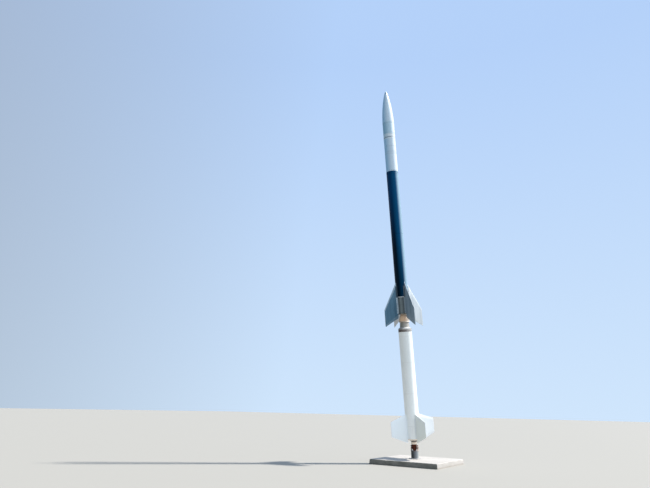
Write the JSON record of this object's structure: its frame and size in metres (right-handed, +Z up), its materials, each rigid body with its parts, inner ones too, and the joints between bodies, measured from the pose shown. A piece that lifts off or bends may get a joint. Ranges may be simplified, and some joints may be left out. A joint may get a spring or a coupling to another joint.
{
  "type": "two-stage sounding rocket on a display stand",
  "caption": "Finned booster and finned upper stage with payload and pointed nose, leaning on a post over a square concrete plinth; the stages slide apart.",
  "frame": {"origin": "middle of the plinth's underside, where it meets the ground", "axes": "+Z up; X and Y along the plinth's sides; the rocket leans towards -Y"},
  "size_m": [2.33, 2.9556, 13.2852],
  "materials": {
    "concrete": "weathered cast concrete",
    "post_paint": "worn grey paint on steel",
    "ear_paint": "faded off-white paint on steel",
    "rusty_steel": "rusted steel",
    "cream_paint": "cream paint",
    "dark_recess": "dull dark steel",
    "white_paint": "semi-gloss white paint",
    "dark_band": "dull dark brown-grey",
    "grey_paint": "weathered light grey paint",
    "nozzle_tan": "tan heat-stained metal",
    "bare_metal": "brushed, weathered",
    "bright_metal": "bright machined ring",
    "black_paint": "glossy blue-black paint",
    "payload_paint": "semi-gloss pale grey paint",
    "tip_metal": "dull steel"
  },
  "bodies": {
    "booster_and_stand": {"plinth": "concrete", "base_plate": "post_paint", "post": "post_paint", "post_cap": "post_paint", "clevis_ear_1": "ear_paint", "clevis_ear_2": "ear_paint", "clevis_pin": "rusty_steel", "locking_bolt": "rusty_steel", "tail_stub": "rusty_steel", "mount_ring": "cream_paint", "booster_nozzle": "dark_recess", "booster_aft_skirt": "white_paint", "booster_case": "white_paint", "booster_head_band": "dark_band", "adapter_shoulder": "grey_paint", "adapter_neck": "grey_paint", "booster_fin_1": "white_paint", "booster_fin_2": "white_paint", "booster_fin_3": "white_paint", "booster_fin_4": "white_paint"},
    "upper_motor": {"nozzle_bell": "nozzle_tan", "nozzle_lip": "cream_paint", "tail_can": "bare_metal", "tail_ring": "bright_metal", "motor_case": "black_paint", "motor_head_band": "black_paint", "upper_fin_1": "bare_metal", "upper_fin_2": "bare_metal", "upper_fin_3": "bare_metal", "upper_fin_4": "bare_metal"},
    "payload": {"payload_aft": "payload_paint", "payload_mid": "payload_paint", "payload_band": "payload_paint", "payload_fore": "payload_paint"},
    "nose": {"nose_ogive": "payload_paint", "nose_tip": "tip_metal"}
  },
  "joints": [
    {"name": "stage_separation", "type": "slide", "parent": "booster_and_stand", "child": "upper_motor", "axis": [0, -0.1298, 0.9915], "range_m": [0, 0.5]},
    {"name": "payload_separation", "type": "slide", "parent": "upper_motor", "child": "payload", "axis": [0, -0.1298, 0.9915], "range_m": [0, 0.3]},
    {"name": "nose_release", "type": "slide", "parent": "payload", "child": "nose", "axis": [0, -0.1298, 0.9915], "range_m": [0, 0.3]}
  ]
}
